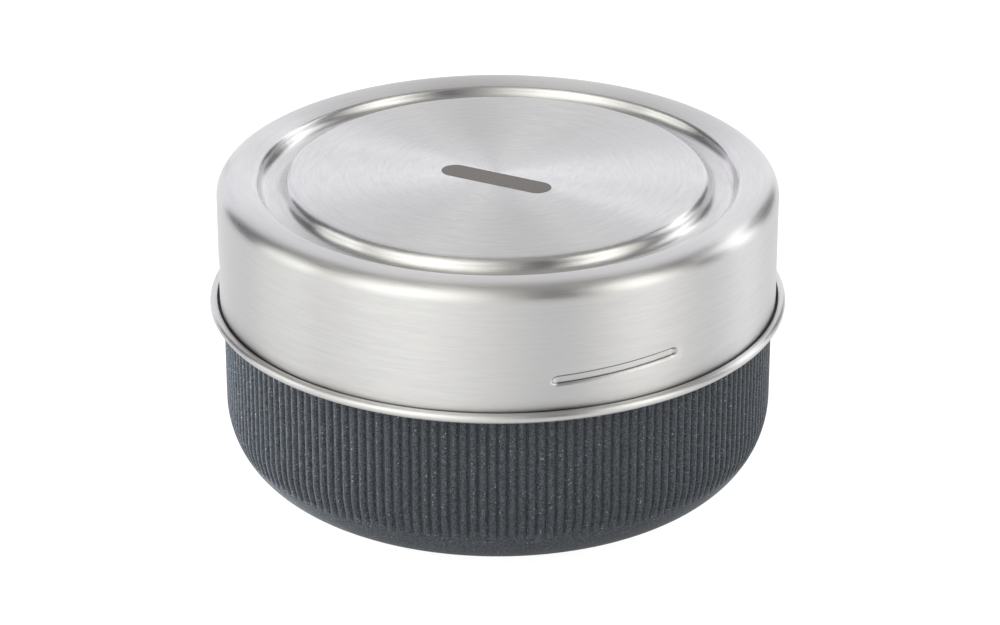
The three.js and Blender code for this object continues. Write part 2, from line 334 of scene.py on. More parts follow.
class StageSettings(bpy.types.PropertyGroup):
    """Camera, floor and light"""
    camera_across: length("Camera across", "Place of the camera to the right of the axis", 0.6 * MM)
    camera_distance: length("Camera distance", "Distance of the camera in front of the axis", 890 * MM)
    camera_height: length("Camera height", "Height of the camera", 458.3 * MM)
    camera_pitch: turn("Camera pitch", "How far the camera looks down", 25.065)
    lens: FloatProperty(name="Lens", description="Focal length in millimetres",
                        default=130.34, min=20, max=400)
    floor_size: length("Floor size", "Length of the floor's side", 6)
    # The ring of painted shadow round the bowl in the floor's glow, as the steel and glass mirror it
    painted_shadow_inner: length("Contact inner", "Radius of the floor's darkest ring by the bowl", 62 * MM)
    painted_shadow_outer: length("Contact outer", "Radius at which the floor is fully lit", 165 * MM)
    painted_shadow_light: share("Contact light", "Share of its glow that the darkest ring keeps", 0.6)
    lamp_size: length("Lamp size", "Length of a side lamp's edge", 0.7)
    lamp_distance: length("Lamp distance", "Distance of the side lamps from the axis", 1.2)
    lamp_height: length("Lamp height", "Height of the side lamps", 0.35)


GROUPS = {
    "bowl_lid": LidSizes,
    "bowl_thread": ThreadSizes,
    "bowl_glass": BowlSizes,
    "bowl_sleeve": SleeveSizes,
    "bowl_plate": PlateSizes,
    "bowl_finish": Finishes,
    "bowl_stage": StageSettings,
}


# Profiles in the (radius, height) plane. A point also keeps the direction that its surface faces.

def arc(centre_radius, centre_height, radius, start, end, step, hollow=False):
    """Points on a round stretch, in degrees, facing away from its centre, or towards it if it is hollow."""
    count = max(2, round(abs(end - start) / step))
    side = -1 if hollow else 1
    points = []
    for at in range(count + 1):
        angle = math.radians(start + (end - start) * at / count)
        across, up = math.cos(angle), math.sin(angle)
        points.append((centre_radius + radius * across, centre_height + radius * up,
                       side * across, side * up))
    return points


def flat(points):
    """The radius and height of each point."""
    return [point[:2] for point in points]


def step_bend(depth, upper, lower):
    """Turn in degrees and width of the two round bends that make a step of that depth."""
    bend = upper + lower
    angle = math.acos(max(0, 1 - depth / bend))
    return math.degrees(angle), bend * math.sin(angle)


def spaced(start, end, count):
    """Evenly spaced numbers from start to end, both included."""
    return [start + (end - start) * at / count for at in range(count + 1)]


def smooth(value):
    """A smooth step from 0 to 1."""
    value = min(1, max(0, value))
    return value * value * (3 - 2 * value)


class Helix:
    """Where lugs or ridges run: their azimuths, their height and how rows of vertices follow them."""

    def __init__(self, thread, start, sweep, height, margin):
        self.period = FULL_TURN / thread.count
        self.count = thread.count
        self.lead = thread.lead
        self.start = start
        self.sweep = sweep
        self.height = height
        self.margin = margin

    def local(self, azimuth):
        """Azimuth counted from a lug's start, from minus the margin."""
        return (azimuth - self.start + self.margin) % self.period - self.margin

    def rise(self, azimuth):
        """Height of the line above its middle. Between two lugs it comes smoothly back down."""
        half = self.lead * self.sweep / 2 / FULL_TURN
        reach = half + self.lead * self.margin / FULL_TURN
        local = self.local(azimuth)
        past = local - self.sweep - self.margin
        if past <= 0:
            return self.lead * local / FULL_TURN - half
        between = self.period - self.sweep - 2 * self.margin
        return reach * (1 - 2 * smooth(past / between))

    def middle(self):
        """Height of the line half-way along a lug."""
        return self.height + self.lead * self.sweep / 2 / FULL_TURN

    def distance(self, azimuth, above, radius, end_round):
        """Distance from the middle line of a lug with round ends, for a point above or below it."""
        along = self.local(azimuth) * radius
        ends = end_round, self.sweep * radius - end_round
        excess = max(ends[0] - along, along - ends[1], 0)
        return math.hypot(excess, above)

    def past_end(self, azimuth, radius, end_length):
        """How far a point lies in or past the stretch of that length at either end of a lug."""
        along = self.local(azimuth) * radius
        return max(end_length - along, along - self.sweep * radius + end_length, 0)

    def azimuths(self, fine, along, plain):
        """Azimuths of columns: close together at the lugs' ends, wider apart along and between them."""
        near, far, past = self.margin, self.sweep - self.margin, self.sweep + self.margin
        stretches = ((-near, near, fine), (near, far, along), (far, past, fine),
                     (past, self.period - near, plain))
        found = []
        for lug in range(self.count):
            first = self.start + lug * self.period
            for begin, end, step in stretches:
                count = max(1, round((end - begin) / math.radians(step)))
                found += spaced(first + begin, first + end, count)[:-1]
        return found


def lug_helix(context):
    """The line that the lid's lugs follow."""
    lid, thread = context.scene.bowl_lid, context.scene.bowl_thread
    height = lid.top - lid.wall_height + thread.lug_rise
    return Helix(thread, thread.lug_start, thread.lug_sweep, height, math.radians(LUG_MARGIN))


def ridge_helix(context):
    """The line that the ridges on the glass follow, above the lugs."""
    thread = context.scene.bowl_thread
    overrun = (thread.ridge_sweep - thread.lug_sweep) / 2
    start = thread.lug_start - overrun
    height = lug_helix(context).height + thread.ridge_lift - thread.lead * overrun / FULL_TURN
    return Helix(thread, start, thread.ridge_sweep, height, math.radians(RIDGE_MARGIN))


# Meshes

def direction(azimuth):
    """Direction of an azimuth that is counted from the front towards the right."""
    return math.sin(azimuth), -math.cos(azimuth)


def turned_mesh(name, rows, azimuths):
    """A mesh of rows of points round the axis. A row is a function of the azimuth that gives radius and
    height, or one number, the height of a pole on the axis. Rows without poles close on themselves."""
    vertices, rings = [], []
    for row in rows:
        if callable(row):
            rings.append(list(range(len(vertices), len(vertices) + len(azimuths))))
            for azimuth in azimuths:
                x, y = direction(azimuth)
                radius, height = row(azimuth)
                vertices.append((x * radius, y * radius, height))
        else:
            rings.append([len(vertices)])
            vertices.append((0, 0, row))
    count = len(azimuths)
    pairs = list(zip(rings, rings[1:]))
    if len(rings[0]) > 1:
        pairs.append((rings[-1], rings[0]))
    faces = []
    for low, high in pairs:
        for at in range(count):
            after = (at + 1) % count
            if len(low) == 1:
                faces.append((low[0], high[after], high[at]))
            elif len(high) == 1:
                faces.append((low[at], low[after], high[0]))
            else:
                faces.append((low[at], low[after], high[after], high[at]))
    mesh = bpy.data.meshes.new(name)
    mesh.from_pydata(vertices, [], faces)
    mesh.polygons.foreach_set("use_smooth", [True] * len(mesh.polygons))
    mesh.set_sharp_from_angle(angle=math.radians(SHARP_DEGREES))
    mesh.update()
    return mesh


def plain_row(radius, height):
    """A row of points at one radius and height."""
    return lambda azimuth: (radius, height)


def store_numbers(mesh, name, numbers):
    """Keeps one number for each vertex as a named attribute."""
    attribute = mesh.attributes.new(name, "FLOAT", "POINT")
    attribute.data.foreach_set("value", numbers)


def store_rows(mesh, name, rows):
    """Keeps rows of numbers, one for each point of a mesh of rows between two poles, and 0 for the poles."""
    numbers = [0.0]
    for row in rows:
        numbers += row
    store_numbers(mesh, name, numbers + [0.0])


def add_piece(name, mesh, body, node):
    """Puts a finished mesh in the scene, riding on a body, in place of a CAD node where there is one."""
    piece = bpy.data.objects.new(name, mesh)
    bpy.context.scene.collection.objects.link(piece)
    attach(piece, body)
    if node:
        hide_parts(node)


# Materials

class Nodes:
    """A node tree, with short ways to add and join nodes."""

    def __init__(self, tree):
        self.tree = tree

    def add(self, kind, inputs=None, **settings):
        """A new node. Inputs are given by name or number, as values or as sockets to join."""
        made = self.tree.nodes.new(kind)
        for key, value in settings.items():
            setattr(made, key, value)
        for key, value in (inputs or {}).items():
            self.put(made.inputs[key], value)
        return made

    def put(self, socket, value):
        """Sets a socket's value, or joins another socket to it."""
        if isinstance(value, bpy.types.NodeSocket):
            self.tree.links.new(value, socket)
        else:
            socket.default_value = value

    def math(self, operation, first, second=0.0):
        """The result of a Math node."""
        return self.add("ShaderNodeMath", {0: first, 1: second}, operation=operation).outputs[0]

    def vector(self, operation, first, second=(0, 0, 0)):
        """The vector that a Vector Math node gives."""
        return self.add("ShaderNodeVectorMath", {0: first, 1: second}, operation=operation).outputs[0]

    def measure(self, operation, first, second=(0, 0, 0)):
        """The number that a Vector Math node gives."""
        return self.add("ShaderNodeVectorMath", {0: first, 1: second}, operation=operation).outputs["Value"]

    def scaled(self, vector, factor):
        """A vector or colour times a number."""
        return self.add("ShaderNodeVectorMath", {0: vector, 3: factor}, operation="SCALE").outputs[0]

    def ramp(self, value, start, end, low=0.0, high=1.0, blend="LINEAR"):
        """A number that goes from low to high while the value goes from start to end."""
        inputs = {0: value, 1: start, 2: end, 3: low, 4: high}
        return self.add("ShaderNodeMapRange", inputs, interpolation_type=blend).outputs[0]


class Shader(Nodes):
    """The node tree of a new material."""

    def __init__(self, name):
        self.material = bpy.data.materials.new(name)
        self.material.use_nodes = True
        super().__init__(self.material.node_tree)
        self.surface = self.tree.nodes["Principled BSDF"]

    def place(self):
        """The point that is shaded, counted from the piece's origin."""
        return self.add("ShaderNodeTexCoord").outputs["Object"]

    def attribute(self, name):
        """A number that the mesh keeps for each vertex."""
        return self.add("ShaderNodeAttribute", attribute_name=name).outputs["Fac"]

    def noise(self, place, scale, detail):
        """Noise at a place."""
        inputs = {"Vector": place, "Scale": scale, "Detail": detail}
        return self.add("ShaderNodeTexNoise", inputs).outputs[0]

    def bump(self, strength, distance, height):
        """A normal that follows a height."""
        inputs = {"Strength": strength, "Distance": distance, "Height": height}
        return self.add("ShaderNodeBump", inputs).outputs[0]

    def finish(self, **values):
        """Sets the surface's sockets by name, with _ for a space, and gives the material."""
        for key, value in values.items():
            self.put(self.surface.inputs[key.replace("_", " ")], value)
        return self.material


def rgba(value):
    """A colour with full alpha."""
    return (*value, 1)


def brushed_steel(finish):
    """Spun steel: streaks that run round the axis, laid out by the length along the lid's profile, and
    painted shade that darkens its colour deep in creases.
    """
    shader = Shader("brushed_steel")
    round_axis = shader.vector("NORMALIZE", shader.vector("MULTIPLY", shader.place(), (1, 1, 0)))
    along = shader.attribute("along_profile")
    streaks = 0.0
    for across, changes, detail, weight in STREAKS:
        lift = shader.add("ShaderNodeCombineXYZ", {"Z": shader.math("DIVIDE", along, across)}).outputs[0]
        spot = shader.vector("ADD", shader.scaled(round_axis, changes), lift)
        weighted = shader.math("MULTIPLY", shader.noise(spot, scale=1.0, detail=detail), weight)
        streaks = shader.math("ADD", streaks, weighted)
    spread = shader.ramp(along, *STREAK_CHANGE, DISC_STREAK, WALL_STREAK)
    tint = shader.math("MULTIPLY", shader.math("SUBTRACT", streaks, 1.0), spread)
    # Painted shade: the steel's colour is darkened deep in the lugs' creases and in the gap behind the
    # rolled rim
    shade = shader.math("MULTIPLY", shader.attribute("painted_crease_shade"), CREASE_PAINTED_SHADE)
    tone = shader.math("MULTIPLY", shader.math("ADD", 1.0, tint), shader.math("SUBTRACT", 1.0, shade))
    rough = shader.ramp(streaks, *STREAK_RANGE, finish.steel_roughness - ROUGH_SPREAD,
                        finish.steel_roughness + ROUGH_SPREAD)
    polish = shader.math("MULTIPLY", shader.attribute("bend"), finish.bend_polish)
    rough = shader.math("SUBTRACT", rough, polish)
    rough = shader.math("SUBTRACT", rough, shader.ramp(along, 0.0, MIDDLE_END, MIDDLE_POLISH, 0.0))
    tangent = shader.add("ShaderNodeTangent", direction_type="RADIAL", axis="Z").outputs[0]
    return shader.finish(Base_Color=shader.scaled(finish.steel, tone), Metallic=1.0, Roughness=rough,
                         Normal=shader.bump(strength=0.4, distance=0.05 * MM, height=streaks),
                         Tangent=tangent, Anisotropic=finish.steel_brushing, Anisotropic_Rotation=0.25)


def etched_plate(finish):
    """Matt etched steel, a little uneven."""
    shader = Shader("etched_plate")
    grain = shader.noise(shader.place(), scale=2600.0, detail=2.0)
    tone = shader.ramp(grain, *NOISE_RANGE, low=0.9, high=1.1)
    return shader.finish(Base_Color=shader.scaled(finish.plate, tone), Metallic=0.6, Roughness=0.55,
                         Normal=shader.bump(strength=0.2, distance=0.02 * MM, height=grain))


def sleeve_silicone(finish):
    """Dark matt silicone with small pale flecks and a fine grain."""
    shader = Shader("sleeve_silicone")
    place = shader.place()
    cells = shader.add("ShaderNodeTexVoronoi", {"Vector": place, "Scale": 1 / FLECK_CELL}).outputs
    chance = shader.add("ShaderNodeSeparateColor", {0: cells["Color"]}).outputs
    size = shader.ramp(chance[0], FLECK_NONE, 1.0, 0.0, FLECK_REACH)
    spot = shader.ramp(shader.math("SUBTRACT", size, cells["Distance"]), 0.0, FLECK_SOFT)
    strength = shader.math("MULTIPLY", spot, shader.math("POWER", chance[1], FLECK_RARE))
    grain = shader.noise(place, scale=1 / GRAIN_SIZE, detail=3.0)
    plain = shader.scaled(finish.sleeve, shader.ramp(grain, *NOISE_RANGE, *GRAIN_TONES))
    mixed = {0: strength, 6: plain, 7: rgba(finish.fleck)}
    base = shader.add("ShaderNodeMix", mixed, data_type="RGBA").outputs[2]
    return shader.finish(Base_Color=base, Roughness=0.62, Specular_IOR_Level=0.5,
                         Normal=shader.bump(strength=0.25, distance=0.05 * MM, height=grain),
                         Sheen_Weight=0.08, Sheen_Roughness=0.3, Sheen_Tint=(0.9, 0.96, 1.0, 1))


def seal_silicone(finish):
    """Pale, slightly milky silicone."""
    shader = Shader("seal_silicone")
    cloud = shader.noise(shader.place(), scale=90.0, detail=4.0)
    tone = shader.ramp(cloud, *NOISE_RANGE, low=0.95, high=1.04)
    rough = shader.ramp(cloud, *NOISE_RANGE, low=0.4, high=0.5)
    return shader.finish(Base_Color=shader.scaled(finish.seal, tone), Roughness=rough)


def clear_glass(finish):
    """Clear glass with a faint waviness."""
    shader = Shader("clear_glass")
    wave = shader.noise(shader.place(), scale=60.0, detail=1.0)
    return shader.finish(Base_Color=rgba(finish.glass), Roughness=0.01, IOR=1.5, Transmission_Weight=1.0,
                         Normal=shader.bump(strength=0.05, distance=0.2 * MM, height=wave))


# Sleeve

def rib_nodes():
    """A Geometry Nodes tree that presses upright valleys into the outside of a smooth round wall."""
    tree = bpy.data.node_groups.new("sleeve_ribs", "GeometryNodeTree")
    sockets = {"Geometry": "Geometry", "Ribs": "Int", "Depth": "Float", "Fullness": "Float", "End": "Float",
               "Run-out": "Float", "Material": "Material"}
    for name, kind in sockets.items():
        tree.interface.new_socket(name, in_out="INPUT", socket_type="NodeSocket" + kind)
    tree.interface.new_socket("Geometry", in_out="OUTPUT", socket_type="NodeSocketGeometry")
    nodes = Nodes(tree)
    given = nodes.add("NodeGroupInput").outputs
    place = nodes.add("GeometryNodeInputPosition").outputs[0]
    parts = nodes.add("ShaderNodeSeparateXYZ", {0: place}).outputs
    azimuth = nodes.math("ARCTAN2", parts["X"], nodes.math("MULTIPLY", parts["Y"], -1.0))
    turns = nodes.math("DIVIDE", azimuth, FULL_TURN)
    phase = nodes.math("FRACT", nodes.math("MULTIPLY", turns, given["Ribs"]))
    off_crown = nodes.math("ABSOLUTE", nodes.math("SUBTRACT", nodes.math("MULTIPLY", phase, 2.0), 1.0))
    valley = nodes.math("POWER", off_crown, given["Fullness"])
    top = nodes.math("ADD", given["End"], given["Run-out"])
    fade = nodes.ramp(parts["Z"], given["End"], top, blend="SMOOTHSTEP")
    stored = nodes.add("GeometryNodeInputNamedAttribute", {"Name": "outside"}, data_type="FLOAT")
    cut = nodes.math("MULTIPLY", nodes.math("MULTIPLY", valley, given["Depth"]),
                     nodes.math("MULTIPLY", fade, stored.outputs[0]))
    inwards = nodes.vector("NORMALIZE", nodes.vector("MULTIPLY", place, (-1, -1, 0)))
    move = {"Geometry": given["Geometry"], "Offset": nodes.scaled(inwards, cut)}
    pressed = nodes.add("GeometryNodeSetPosition", move).outputs[0]
    real = nodes.add("GeometryNodeRealizeInstances", {0: pressed}).outputs[0]
    paint = {"Geometry": real, "Material": given["Material"]}
    nodes.add("NodeGroupOutput", {0: nodes.add("GeometryNodeSetMaterial", paint).outputs[0]})
    return tree


def corner(width, height, centre_radius, centre_height, start, end, count):
    """Points on a bottom corner's quarter ellipse, from the floor at 0 degrees up to the wall at 90."""
    return [(centre_radius + width * math.sin(math.radians(angle)),
             centre_height - height * math.cos(math.radians(angle)))
            for angle in spaced(start, end, count)]


class BOWL_OT_sleeve(bpy.types.Operator):
    """Makes the ribbed silicone sleeve"""
    bl_idname = "bowl.sleeve"
    bl_label = "Silicone sleeve"

    def execute(self, context):
        sizes = context.scene.bowl_sleeve
        centre_radius = sizes.radius - sizes.corner_width
        outer = corner(sizes.corner_width, sizes.corner_height, centre_radius, sizes.corner_height,
                       0, 90, SLEEVE_CORNER_ROWS)
        edge = flat(arc(sizes.radius - sizes.edge, sizes.top - sizes.edge, sizes.edge,
                        0, 90, SLEEVE_EDGE_STEP))
        inner_radius = sizes.radius - sizes.wall
        inner = corner(inner_radius - centre_radius, sizes.corner_height - sizes.floor,
                       centre_radius, sizes.corner_height, 90, 0, SLEEVE_INSIDE_ROWS)
        profile = outer + edge + [(inner_radius, sizes.top)] + inner
        columns = sizes.ribs * RIB_COLUMNS
        rows = [0.0] + [plain_row(*point) for point in profile] + [sizes.floor]
        mesh = turned_mesh("silicone_sleeve_smooth", rows, spaced(0, FULL_TURN, columns)[:-1])
        outside = [0.0] + [1.0] * columns * (len(outer) + len(edge))
        outside += [0.0] * (len(mesh.vertices) - len(outside))
        store_numbers(mesh, "outside", outside)
        smooth_piece = bpy.data.objects.new("sleeve_before_ribs", mesh)
        context.scene.collection.objects.link(smooth_piece)
        tree = rib_nodes()
        modifier = smooth_piece.modifiers.new("Ribs", "NODES")
        modifier.node_group = tree
        values = {"Ribs": sizes.ribs, "Depth": sizes.rib_depth, "Fullness": sizes.rib_fullness,
                  "End": sizes.rib_end, "Run-out": sizes.rib_runout,
                  "Material": sleeve_silicone(context.scene.bowl_finish)}
        for socket in tree.interface.items_tree:
            if socket.in_out == "INPUT" and socket.name in values:
                modifier[socket.identifier] = values[socket.name]
        ready = smooth_piece.evaluated_get(context.evaluated_depsgraph_get())
        ribbed = bpy.data.meshes.new_from_object(ready)
        ribbed.name = "silicone_sleeve_ribbed"
        bpy.data.objects.remove(smooth_piece)
        add_piece("ribbed_sleeve", ribbed, "sleeve", "silicone_sleeve")
        return {"FINISHED"}


# Glass bowl

class BOWL_OT_glass(bpy.types.Operator):
    """Makes the glass bowl with its thread ridges"""
    bl_idname = "bowl.glass"
    bl_label = "Glass bowl"

    def execute(self, context):
        sizes, sleeve = context.scene.bowl_glass, context.scene.bowl_sleeve
        thread = context.scene.bowl_thread
        helix = ridge_helix(context)
        middle = helix.middle()
        centre_radius = sleeve.radius - sleeve.corner_width
        centre_height = sleeve.corner_height
        root, tip = thread.ridge_root / 2, thread.ridge_tip / 2
        band = root + RIDGE_ROOM

        def ridge_row(offset):
            """A row that follows the ridges' line at a set height above or below it."""
            follow = max(0, 1 - max(0, abs(offset) - band) / RIDGE_TAPER)

            def place(azimuth):
                distance = helix.distance(azimuth, offset, sizes.radius, root)
                stand = 1 - smooth((distance - tip) / (root - tip))
                height = middle + offset + follow * helix.rise(azimuth)
                return sizes.radius + thread.ridge_height * stand, height
            return place

        offsets = [-band - RIDGE_TAPER] + spaced(-band, band, RIDGE_ROWS) + [band + RIDGE_TAPER]
        outer = corner(sizes.radius - centre_radius, centre_height - sizes.bottom,
                       centre_radius, centre_height, 0, 90, GLASS_CORNER_ROWS)
        inner_radius = sizes.radius - sizes.wall
        inner = corner(inner_radius - centre_radius, centre_height - sizes.bottom - sizes.floor,
                       centre_radius, centre_height, 90, 0, GLASS_CORNER_ROWS)
        rim = sizes.wall / 2
        top = flat(arc(sizes.radius - rim, sizes.top - rim, rim, 0, 180, GLASS_RIM_STEP))
        rows = [sizes.bottom] + [plain_row(*point) for point in outer]
        rows += [ridge_row(offset) for offset in offsets]
        rows += [plain_row(*point) for point in top + inner] + [sizes.bottom + sizes.floor]
        mesh = turned_mesh("glass_bowl_fine", rows, helix.azimuths(*GLASS_COLUMNS))
        mesh.materials.append(clear_glass(context.scene.bowl_finish))
        add_piece("clear_bowl", mesh, "bowl", "glass_bowl")
        return {"FINISHED"}


# Seal

class BOWL_OT_seal(bpy.types.Operator):
    """Makes the seal ring in the lid"""
    bl_idname = "bowl.seal"
    bl_label = "Seal ring"

    def execute(self, context):
        lid, soft = context.scene.bowl_lid, context.scene.bowl_glass.seal_round
        outer, top, bottom = seal_high.x, seal_high.z, seal_low.z
        shoulder_centre = lid.wall_radius - lid.shoulder
        ring_radius, ring_turn, lip_radius, lip_height = ring_fall(lid)
        below = lid.top - top
        inner = lip_radius - (lid.lip - below)
        upper = lid.shoulder - below
        reach = math.degrees(math.acos(min(1, (outer - shoulder_centre) / upper)))
        profile = arc(shoulder_centre, lid.top - ring_radius, ring_radius - below,
                      90, 90 + ring_turn, SEAL_RING_STEP)[1:]
        profile += arc(lip_radius, lip_height, lid.lip - below, 90 + ring_turn, 180, SEAL_CORNER_STEP)[1:]
        profile += arc(inner + soft, bottom + soft, soft, 180, 270, SEAL_CORNER_STEP)
        profile += arc(outer - soft, bottom + soft, soft, 270, 360, SEAL_CORNER_STEP)
        profile += arc(shoulder_centre, top - upper, upper, reach, 90, SEAL_SHOULDER_STEP)
        rows = [plain_row(*point) for point in flat(profile)]
        mesh = turned_mesh("lid_seal_fine", rows, spaced(0, FULL_TURN, SEAL_COLUMNS)[:-1])
        mesh.materials.append(seal_silicone(context.scene.bowl_finish))
        add_piece("seal_ring", mesh, "seal", "lid_seal")
        return {"FINISHED"}


# Lid

def ring_fall(lid):
    """Radius and turn in degrees of the ring's gentle fall to the groove, and the radius and height of the
    middle of the lip's rounding."""
    turned = 2 * math.atan(lid.ring_drop / lid.ring_width)
    inner = lid.wall_radius - lid.shoulder - lid.ring_width
    lip_radius = inner + lid.lip * math.sin(turned)
    lip_height = lid.top - lid.ring_drop - lid.lip * math.cos(turned)
    return lid.ring_width / math.sin(turned), math.degrees(turned), lip_radius, lip_height


def rolled_rim(lid):
    """Radius and height of the rolled rim's middle, the angle in degrees where the roll ends, and the
    height of its edge."""
    radius = lid.wall_radius + lid.curl_offset - lid.sheet + lid.curl
    height = lid.top - lid.wall_height + lid.curl
    end = math.acos((lid.wall_radius + lid.curl_edge - radius) / lid.curl)
    return radius, height, 360 + math.degrees(end), height + lid.curl * math.sin(end)


def lid_path(lid, step, wall_heights):
    """The pressing's upper and outer face, from the disc's centre out, down the wall and round the rolled
    rim, and where the wall's rows start and end in it."""
    shoulder_centre = lid.wall_radius - lid.shoulder
    ring_radius, ring_turn, lip_radius, lip_height = ring_fall(lid)
    disc_height = lid.top - lid.disc_drop
    floor_height = lid.top - lid.groove_depth
    outer_turn, outer_width = step_bend(lip_height + lid.lip - floor_height, lid.lip, lid.groove_outer)
    inner_depth = lid.groove_depth - lid.disc_drop
    inner_turn, inner_width = step_bend(inner_depth, lid.disc_edge, lid.groove_inner)
    floor_outer = lip_radius - outer_width
    floor_inner = floor_outer - lid.groove_floor
    disc_radius = floor_inner - inner_width
    curl_centre, curl_height, curl_end, edge_height = rolled_rim(lid)
    path = [(radius, disc_height, 0, 1) for radius in spaced(0, disc_radius, DISC_RINGS)[1:-1]]
    path += arc(disc_radius, disc_height - lid.disc_edge, lid.disc_edge, 90, 90 - inner_turn, step)
    path += arc(floor_inner, floor_height + lid.groove_inner, lid.groove_inner,
                270 - inner_turn, 270, step, hollow=True)[1:]
    path += arc(floor_outer, floor_height + lid.groove_outer, lid.groove_outer,
                270, 270 + outer_turn, step, hollow=True)
    path += arc(lip_radius, lip_height, lid.lip, 90 + outer_turn, 90 + ring_turn, step)[1:]
    path += arc(shoulder_centre, lid.top - ring_radius, ring_radius,
                90 + ring_turn, 90, step / RING_FINENESS)[1:]
    path += arc(shoulder_centre, lid.top - lid.shoulder, lid.shoulder, 90, 0, step)[1:]
    before_wall = len(path)
    path += [(lid.wall_radius, height, 1, 0) for height in wall_heights]
    after_wall = len(path)
    path += [(lid.wall_radius, edge_height + part * GAP_SHADE, 1, 0) for part in spaced(1, -1, GAP_ROWS)]
    inside = lid.curl - lid.sheet
    wide = inside + lid.curl_offset
    for across, up in (point[2:] for point in arc(0, 0, 1, 180, 270, step)[:-1]):
        steepness = math.hypot(across / wide, up / inside)
        path.append((curl_centre + wide * across, curl_height + inside * up,
                     -across / wide / steepness, -up / inside / steepness))
    path += arc(curl_centre, curl_height, inside, 270, curl_end, step * ROLL_COARSENESS, hollow=True)
    return path, before_wall, after_wall


class LidWall:
    """The lid's upright wall: where its rows of points lie, and how its lugs are pressed into it."""

    def __init__(self, context):
        self.lid, self.thread = context.scene.bowl_lid, context.scene.bowl_thread
        self.helix = lug_helix(context)
        self.middle = self.helix.middle()
        self.half = (self.thread.lug_edge + self.thread.lug_floor + self.thread.lug_lip) / 2
        self.centre = self.thread.lug_top - self.half
        self.edge = self.half + LUG_ROOM
        self.band = self.half + DISH_ROOM * self.thread.dish_width
        *_, edge_height = rolled_rim(self.lid)
        self.taper_below = self.middle + self.centre - self.band - edge_height - 2 * GAP_SHADE

    def heights(self, count):
        """Heights of the wall's rows at the middle of a lug, with that many steps over its mouth."""
        dish_rows = spaced(self.edge, self.band, DISH_ROWS)[1:]
        offsets = [self.band + LUG_TAPER] + dish_rows[::-1] + spaced(self.edge, -self.edge, count)
        offsets += [-offset for offset in dish_rows] + [-self.band - self.taper_below]
        return [self.middle + self.centre + offset for offset in offsets]

    def above(self, height):
        """How far a row of that height lies above the middle of a lug's mouth."""
        return height - self.middle - self.centre

    def lug_shape(self, azimuth, above):
        """The shape of a lug at a point above or below its mouth's middle, from 0 at the wall to 1 at its
        floor, and how much shade is painted on the point in the lug's creases. A lug has a rounded upper
        edge, a flat floor, and a lower side that steps up and rolls out over a lip."""
        thread = self.thread
        past_end = self.helix.past_end(azimuth, self.lid.wall_radius, thread.lug_end)
        whole = math.sqrt(max(0, 1 - (past_end / thread.lug_end) ** 2))
        closing = (1 - whole) * thread.lug_floor / 2
        down = self.half - above - closing
        over = min(1, max(0, down / thread.lug_edge))
        upper = 1 - math.sqrt(1 - over * over)
        under = (down - thread.lug_edge - thread.lug_floor + 2 * closing) / thread.lug_lip
        ledge = 1 - LEDGE_SHARE * smooth(under / LEDGE_RUN)
        lower = ledge * (1 - min(1, max(0, under))) ** 2
        # Painted shade under the lug's upper edge and at its lower step
        upper_painted_shade = smooth((upper - EDGE_START) / EDGE_RUN)
        upper_painted_shade *= smooth(1 - (down - thread.lug_edge) / EDGE_SHADE)
        lower_painted_shade = max(0, 1 - abs(under - LEDGE_RUN / 2) / (LEDGE_SHADE * LEDGE_RUN))
        return whole * upper * lower, whole * max(upper_painted_shade, lower_painted_shade)

    def row(self, radius, height, depth):
        """A row of points with lugs of that depth, which follows the lugs' line where it is near it."""
        above = self.above(height)
        taper = LUG_TAPER if above > 0 else self.taper_below
        follow = 1 - min(1, max(0, abs(above) - self.band) / taper)

        def place(azimuth):
            press = 0
            if follow == 1:
                slot = self.lug_shape(azimuth, above)[0]
                distance = self.helix.distance(azimuth, above, self.lid.wall_radius, self.half)
                dish = 1 - smooth(max(0, distance - self.half) / self.thread.dish_width)
                press = depth * slot + self.thread.dish_depth * dish * (1 - slot)
            return radius - press, height + follow * self.helix.rise(azimuth)
        return place


class LidFace:
    """One face of the lid's sheet: its profile, its rows of points, and what the steel's finish goes by."""

    def __init__(self, wall, step, lug_rows, inset, lug_depth):
        self.wall = wall
        self.path, self.wall_start, self.wall_end = lid_path(wall.lid, step, wall.heights(lug_rows))
        self.rows = []
        for at, (radius, height, out, up) in enumerate(self.path):
            spot = max(0, radius - inset * out), height - inset * up
            self.rows.append(wall.row(*spot, lug_depth) if self.on_wall(at) else plain_row(*spot))

    def on_wall(self, at):
        """Whether a row is one of those that follow the lugs."""
        return self.wall_start <= at < self.wall_end

    def lengths(self, azimuths):
        """Length along the profile of each point of each row. On the wall it goes by the point's height."""
        so_far = self.path[0][0]
        found = [[so_far] * len(azimuths)]
        for at in range(1, len(self.path)):
            so_far += math.dist(self.path[at - 1][:2], self.path[at][:2])
            if self.on_wall(at):
                height = self.path[at][1]
                found.append([so_far + height - self.rows[at](azimuth)[1] for azimuth in azimuths])
            else:
                found.append([so_far] * len(azimuths))
        return found

    def painted_crease_shades(self, azimuths):
        """How much shade is painted on each point of each row, deep in a lug's creases or in the gap behind
        the rim.
        """
        *_, edge_height = rolled_rim(self.wall.lid)
        found = []
        for at, (_, height, _, _) in enumerate(self.path):
            above = self.wall.above(height)
            if at >= self.wall_end:
                shade = GAP_PAINTED_SHADE * smooth((edge_height - height) / GAP_SHADE + GAP_START)
                found.append([shade] * len(azimuths))
            elif at >= self.wall_start and abs(above) < self.wall.edge:
                found.append([self.wall.lug_shape(azimuth, above)[1] for azimuth in azimuths])
            else:
                found.append([0.0] * len(azimuths))
        return found

    def bends(self, azimuths):
        """How far each point of each row counts as a bend."""
        found = []
        for radius, _, out, up in self.path:
            bend = smooth((1 - abs(up)) / BEND_RANGE) * smooth((1 - abs(out)) / BEND_RANGE)
            outside = radius > self.wall.lid.wall_radius - self.wall.lid.shoulder
            found.append([bend * (SHOULDER_SHARE if outside else 1)] * len(azimuths))
        return found


